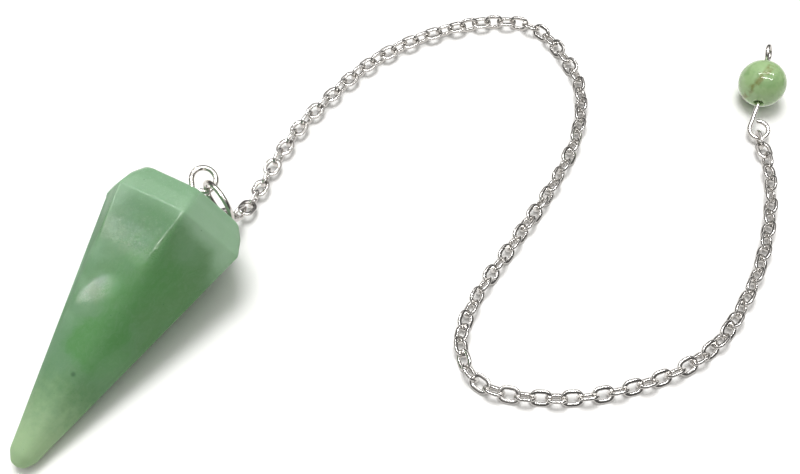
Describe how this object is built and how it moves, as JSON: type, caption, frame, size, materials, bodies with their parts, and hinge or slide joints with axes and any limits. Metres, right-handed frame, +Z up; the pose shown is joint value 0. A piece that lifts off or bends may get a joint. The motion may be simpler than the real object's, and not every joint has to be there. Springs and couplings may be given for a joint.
{
  "type": "pendulum pendant",
  "caption": "Hexagonal pointed stone pendulum with a wire eye and jump ring, on a cable chain that ends in a drilled round bead on a looped wire pin.",
  "frame": {"origin": "on the surface that the pendant lies on, under the middle of its box", "axes": "+X along the longer side of the laid-out pendant, from the stone towards the bead, +Y away from the viewer of the picture, +Z up from the surface"},
  "size_m": [0.091, 0.0658, 0.0144],
  "materials": {
    "stone": "polished translucent green aventurine, mottled",
    "bead": "polished pale green aventurine with a brown vein",
    "wire": "bright polished plated wire",
    "chain": "bright polished plated links with flattened faces"
  },
  "bodies": {
    "root": {"stone": "stone", "eye_loop": "wire", "jump_ring": "wire", "chain_upper": "chain", "chain_lower": "chain", "bead": "bead", "bead_pin": "wire"}
  },
  "joints": []
}
